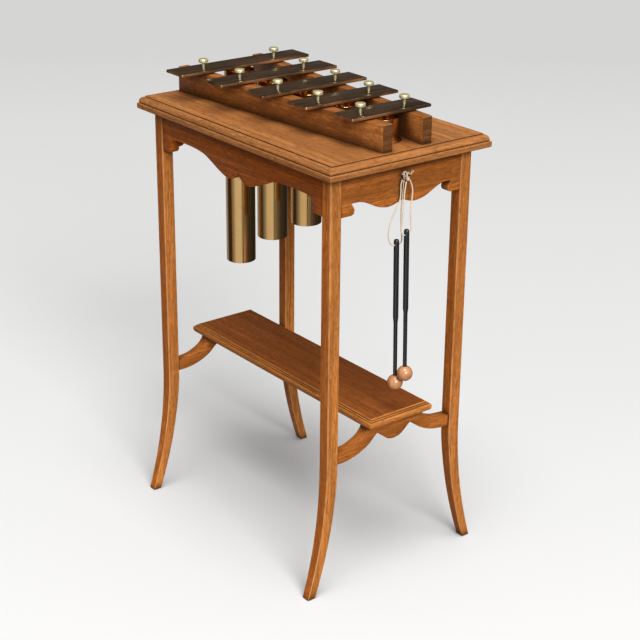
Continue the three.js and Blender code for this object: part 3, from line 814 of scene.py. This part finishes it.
# ------------------------------------------------------------------ rails
def rail(name, sy, node):
    """A rail with rounded upper edges, eased ends and a pin hole under each bar."""
    w = RAIL_WIDTH / 2
    outline = fillet([(-w, 0), (w, 0), (w, RAIL_HEIGHT), (-w, RAIL_HEIGHT)], [0.2, 0.2, 1.8, 1.8], 3)
    verts, faces = [], []
    n = len(outline)
    last = RAIL_HALF_LENGTH
    stations = [-last, 1 - last, -last / 2, 0, last / 2, last - 1, last]
    for x in stations:
        at_end = abs(x) == last
        shrink = 0.955 if at_end else 1
        for p in outline:
            drop = 0.9 if at_end and p.y > RAIL_HEIGHT / 2 else 0
            verts.append(at(x, sy * rail_y(x) + p.x * shrink, TOP_Z + p.y - drop))
    for i in range(len(stations) - 1):
        for k in range(n):
            a, b = i * n + k, i * n + (k + 1) % n
            faces.append([a, b, b + n, a + n])
    faces += [list(range(n)), list(range(len(verts) - n, len(verts)))]
    face_mats = [0] * (len(faces) - 2) + [1, 1]
    obj = build(name, verts, faces, [rail_x, rail_end], face_mats, angle=28)
    top_z = TOP_Z + RAIL_HEIGHT
    obj = cut_with(obj, [rod(at(x, sy * rail_y(x), top_z), 3 * MM, -0.0253, 0.01, 24) for x in BAR_X])
    smooth(obj, 28)
    place_piece(obj, "table", "oak_rail", node)


for side, sign in SIDES:
    rail(f"oak_rail_{side}", sign, f"rail_{side}")

# ------------------------------------------------------------------ bars, pins, felts, tubes
def tone_bar(name, x, length, pin_y, body, node):
    """A flat bar with softly rounded edges and two countersunk pin holes."""
    w = BAR_WIDTH / 2
    outline = fillet([(-w, -length / 2), (w, -length / 2), (w, length / 2), (-w, length / 2)], 2.6, 6)
    n = len(outline)
    layers = [(0.7, 0), (0.2, 0.25), (0, 0.8), (0, 3.9), (0.25, 4.65), (0.85, BAR_THICKNESS)]
    verts, faces, face_mats = [], [], []
    for inset, z in layers:
        for p in outline:
            verts.append(at(x + p.x * (1 - inset / w), p.y * (1 - 2 * inset / length), BAR_Z + z))
    for i in range(len(layers) - 1):
        for k in range(n):
            a, b = i * n + k, i * n + (k + 1) % n
            faces.append([a, b, b + n, a + n])
            face_mats.append(1 if i < 4 else 0)
    faces += [list(range(n))[::-1], list(range(len(verts) - n, len(verts)))]
    face_mats += [0, 0]
    obj = build(name, verts, faces, [bar_dark, bar_edge], face_mats, angle=40)
    tools = []
    for sy in (-1, 1):
        profile = [(0, -2), (3.6, -2), (3.6, 4.4), (4.2, 5.2), (4.2, 6), (0, 6)]
        v, f = turned([(r * MM, z * MM) for r, z in profile], 40)
        tools.append(build("tool", move(v, Matrix.Translation(at(x, sy * pin_y, BAR_Z))), f, [bar_dark]))
    obj = cut_with(obj, tools)
    smooth(obj, 40)
    place_piece(obj, body, "dark_bar", node)


# Turned profiles, as (radius, height above the floor).
PIN = fillet([
    (0, 832), (2.7, 832), (2.7, 871.6), (3.2, 873.3), (7.6, 873.8), (9, 875.0), (9, 879.3), (8.2, 880.5),
    (0, 880.75),
], [0, 0.4, 1.0, 0.8, 0.8, 0.8, 0.9, 1.0, 0], 4, closed=False)
FELT = fillet([(3.4, 857.02), (8, 857.02), (8, 858.98), (3.4, 858.98)], 0.5, 3)
COLLAR = fillet([
    (28.9, 810.02), (34, 810.02), (33.9, 811.3), (32.8, 811.9), (31.4, 812), (31.1, 813.2), (30.2, 814.2),
    (28.9, 814.2),
], [0.1, 0.3, 0.5, 0.4, 0.3, 0.8, 0.6, 0.3], 3)


def lathe_piece(name, profile, x, y, sides, mat, slot, node, closed=False):
    """A turned piece on an upright axis, fixed to the table."""
    v, f = turned([(p[0] * MM, p[1] * MM) for p in profile], sides, closed)
    obj = build(name, move(v, Matrix.Translation(at(x, y, 0))), f, [mat])
    place_piece(obj, "table", slot, node)


def tube_profile(bottom):
    """A thin tube with a closed bottom and a rounded rim."""
    inner = TUBE_RADIUS - TUBE_WALL
    floor_z = bottom + TUBE_WALL
    points = [(0, bottom), (TUBE_RADIUS, bottom), (TUBE_RADIUS, TUBE_RIM_Z), (inner, TUBE_RIM_Z),
              (inner, floor_z), (0, floor_z)]
    return fillet(points, [0, 1.0, 0.4, 0.4, 0.8, 0], 4, closed=False)


for n, (x, length, bottom) in enumerate(zip(BAR_X, BAR_LENGTHS, TUBE_BOTTOMS), 1):
    pin_y = rail_y(x)
    tone_bar(f"gong_bar_{n}", x, length, pin_y, f"bar_{n}", f"tone_bar_{n}")
    for side, sy in SIDES:
        tag = f"{n}_{side}"
        lathe_piece(f"brass_pin_{tag}", PIN, x, sy * pin_y, 40, brass_pin, "brass", f"pin_{tag}")
        lathe_piece(f"felt_washer_{tag}", FELT, x, sy * pin_y, 32, felt_grey, "felt", f"felt_{tag}", True)
    lathe_piece(f"brass_tube_{n}", tube_profile(bottom), x, 0, 96, brass_tube, "brass", f"resonator_{n}")
    lathe_piece(f"brass_collar_{n}", COLLAR, x, 0, 72, brass_tube, "brass", f"collar_{n}", True)

nail_profile = fillet([(0, -11.7), (1.6, -11.7), (1.6, 15), (2.4, 15.3), (2.3, 16.3), (0, 17)],
                      [0, 0.3, 0.3, 0.4, 0.5, 0], 4, closed=False)
v, f = turned([(p[0] * MM, p[1] * MM) for p in nail_profile], 24)
nail_place = Matrix.Translation(at(APRON_END_X[1], NAIL_Y, NAIL_Z)) @ Matrix.Rotation(math.pi / 2, 4, "Y")
nail = build("brass_nail", move(v, nail_place), f, [nail_metal])
place_piece(nail, "table", "brass", "hanging_nail")


# ------------------------------------------------------------------ beaters
# Heights from the cross hole, and the ball's radius.
HANDLE_TOP = 10
GRIP_END = -134
BALL_CENTRE = -256
BALL_RADIUS = 14
SOCKET_RADIUS = 3.85
SOCKET_FLOOR = 2.2
BALL_STEPS = 48
HANDLE = fillet([
    (0, BALL_CENTRE + 2.5), (3.5, BALL_CENTRE + 2.5), (3.65, GRIP_END - 10), (4.0, GRIP_END - 6),
    (4.8, GRIP_END + 0.5), (4.8, HANDLE_TOP - 3.6), (3.8, HANDLE_TOP - 1), (2, HANDLE_TOP - 0.1),
    (0, HANDLE_TOP),
], [0, 0.4, 3, 2, 2, 1.4, 1.2, 1.0, 0], 5, closed=False)


def ball_profile():
    """A ball with a socket in its top for the handle's end."""
    r = BALL_RADIUS
    profile = [(0, -r)]
    for k in range(1, BALL_STEPS):
        a = -math.pi / 2 + math.pi * k / BALL_STEPS
        if r * math.cos(a) < 4.2 and a > 0:
            break
        profile.append((r * math.cos(a), r * math.sin(a)))
    lip = [(4.1, r * 0.955), (SOCKET_RADIUS, r * 0.93)]
    return profile + lip + [(SOCKET_RADIUS, SOCKET_FLOOR), (0, SOCKET_FLOOR)]


def beater(letter, hole, turn):
    """Built round the cross hole: the handle hangs down from it, with the ball on its end."""
    place = Matrix.Translation(at(*hole)) @ Matrix.Rotation(-BEATER_LEAN, 4, "Y")
    v, f = turned([(p[0] * MM, p[1] * MM) for p in HANDLE], 40)
    stick = build(f"handle_{letter}", v, f, [black], angle=40)
    stick = cut_with(stick, [rod((0, 0, 0), 2.2 * MM, -0.01, 0.01, 24, "Y")])
    stick.data.transform(place)
    smooth(stick, 40)
    place_piece(stick, f"beater_{letter}", "black_lacquer", f"beater_handle_{letter}")
    v, f = turned([(p * MM, (q + BALL_CENTRE) * MM) for p, q in ball_profile()], 64)
    spin = Matrix.Rotation(turn, 4, "Z")
    head = build(f"ball_{letter}", move(v, place @ spin), f, [ball_wood], angle=50)
    place_piece(head, f"beater_{letter}", "turned_wood", f"beater_ball_{letter}")


beater("a", HOLE_A, 0.4)
beater("b", HOLE_B, 2.1)

# ------------------------------------------------------------------ floor and light
FLOOR_SPAN = 14.0
FLOOR_CELLS = 8
FLOOR_Z = -0.0003


def studio_floor():
    """A plain pale floor with painted shade that darkens it further back, that no shiny piece mirrors."""
    verts, faces = [], []
    steps = [-FLOOR_SPAN + 2 * FLOOR_SPAN * i / FLOOR_CELLS for i in range(FLOOR_CELLS + 1)]
    for y in steps:
        for x in steps:
            verts.append(Vector((x, y, FLOOR_Z)))
    row = FLOOR_CELLS + 1
    for j in range(FLOOR_CELLS):
        for i in range(FLOOR_CELLS):
            a = j * row + i
            faces.append([a, a + 1, a + row + 1, a + row])
    n = Finish("studio_floor")
    depth = n.add("ShaderNodeVectorMath", operation="DOT_PRODUCT")
    n.join(n.add("ShaderNodeTexCoord").outputs["Object"], depth.inputs[0])
    depth.inputs[1].default_value = ahead
    fade = n.math("DIVIDE", n.math("ADD", depth.outputs["Value"], 1.0), 5.0)
    # Painted shade: the floor's tone darkens further back along the view, a painted falloff of the light.
    floor_tone_with_painted_falloff = n.ramp(fade, [(0.0, 0.74), (0.35, 0.60), (1.0, 0.475)])
    cloud = n.noise(n.coords((0.4, 0.4, 0.4)), 1, 2)
    n.set(Base_Color=n.stain(floor_tone_with_painted_falloff, cloud, 0.04, (0.6, 0.6, 0.6)))
    n.set(Roughness=0.8, Specular_IOR_Level=0.1)
    floor = build("studio_floor", verts, faces, [n.material])
    floor.visible_glossy = False
    floor.visible_diffuse = False


studio_floor()


def sun(name, azimuth, elevation, strength, spread):
    """A broad soft light from one direction, all in degrees. Azimuth 0 is -Y, and 90 is +X."""
    light = bpy.data.lights.new(name, "SUN")
    light.energy = strength
    light.angle = math.radians(spread)
    obj = bpy.data.objects.new(name, light)
    a, e = math.radians(azimuth), math.radians(elevation)
    direction = Vector((math.sin(a) * math.cos(e), -math.cos(a) * math.cos(e), math.sin(e)))
    obj.rotation_euler = (-direction).to_track_quat("-Z", "Y").to_euler()
    obj.location = direction * 4
    bpy.context.scene.collection.objects.link(obj)


sun("key", 72, 29, 2.85, 28)
sun("overhead", 56, 74, 2.05, 36)

# The studio that the metal mirrors: dark walls with a pale screen on the viewing side, and a soft
# ceiling. Behind the floor, the view itself meets a plain pale backdrop.
world = bpy.data.worlds.new("studio")
world.use_nodes = True
bpy.context.scene.world = world
sky = Nodes(world.node_tree)
background = sky.tree.nodes["Background"]
direction = sky.add("ShaderNodeTexCoord").outputs["Generated"]


def toward(vector):
    """How far the world's direction points along a vector, from -1 to 1."""
    node = sky.add("ShaderNodeVectorMath", operation="DOT_PRODUCT")
    sky.join(direction, node.inputs[0])
    node.inputs[1].default_value = vector
    return node.outputs["Value"]


def bearing(degrees):
    """A place on the walls' ramp, counted from the middle of the pale screen."""
    return degrees / 360 + 0.5


to_screen = toward(-ahead)
around = sky.math("ARCTAN2", toward(level_right), to_screen)
around = sky.math("ADD", sky.math("DIVIDE", around, 2 * math.pi), 0.5)
height = toward((0, 0, 1))
WALL_TONES = [
    (-170, 0.05), (-135, 0.42), (-112, 0.03), (-84, 0.03), (-52, 0.34), (-38, 0.62), (6, 0.66),
    (14, 0.28), (26, 0.22), (45, 0.13), (62, 0.05), (108, 0.028), (140, 0.02), (170, 0.12),
]
walls = sky.ramp(around, [(bearing(degrees), tone) for degrees, tone in WALL_TONES])
back_wall = sky.ramp(height, [(0.25, (0.11, 0.08, 0.05)), (0.62, (0.13, 0.12, 0.11)), (0.9, 0.5)])
front_screen = sky.ramp(height, [(0.1, 0.42), (0.5, 0.52), (0.9, 0.4)])
facing = sky.ramp(to_screen, [(0.0, 0), (0.5, 1)], True)
horizon = sky.ramp(height, [(0.0, 0), (0.15, 1)])
studio = sky.mix(horizon, walls, sky.mix(facing, back_wall, front_screen))
backdrop = (0.66, 0.66, 0.655)
seen = sky.add("ShaderNodeLightPath").outputs["Is Camera Ray"]
sky.join(sky.mix(seen, studio, backdrop), background.inputs[0])
bpy.context.scene.view_settings.view_transform = "Standard"
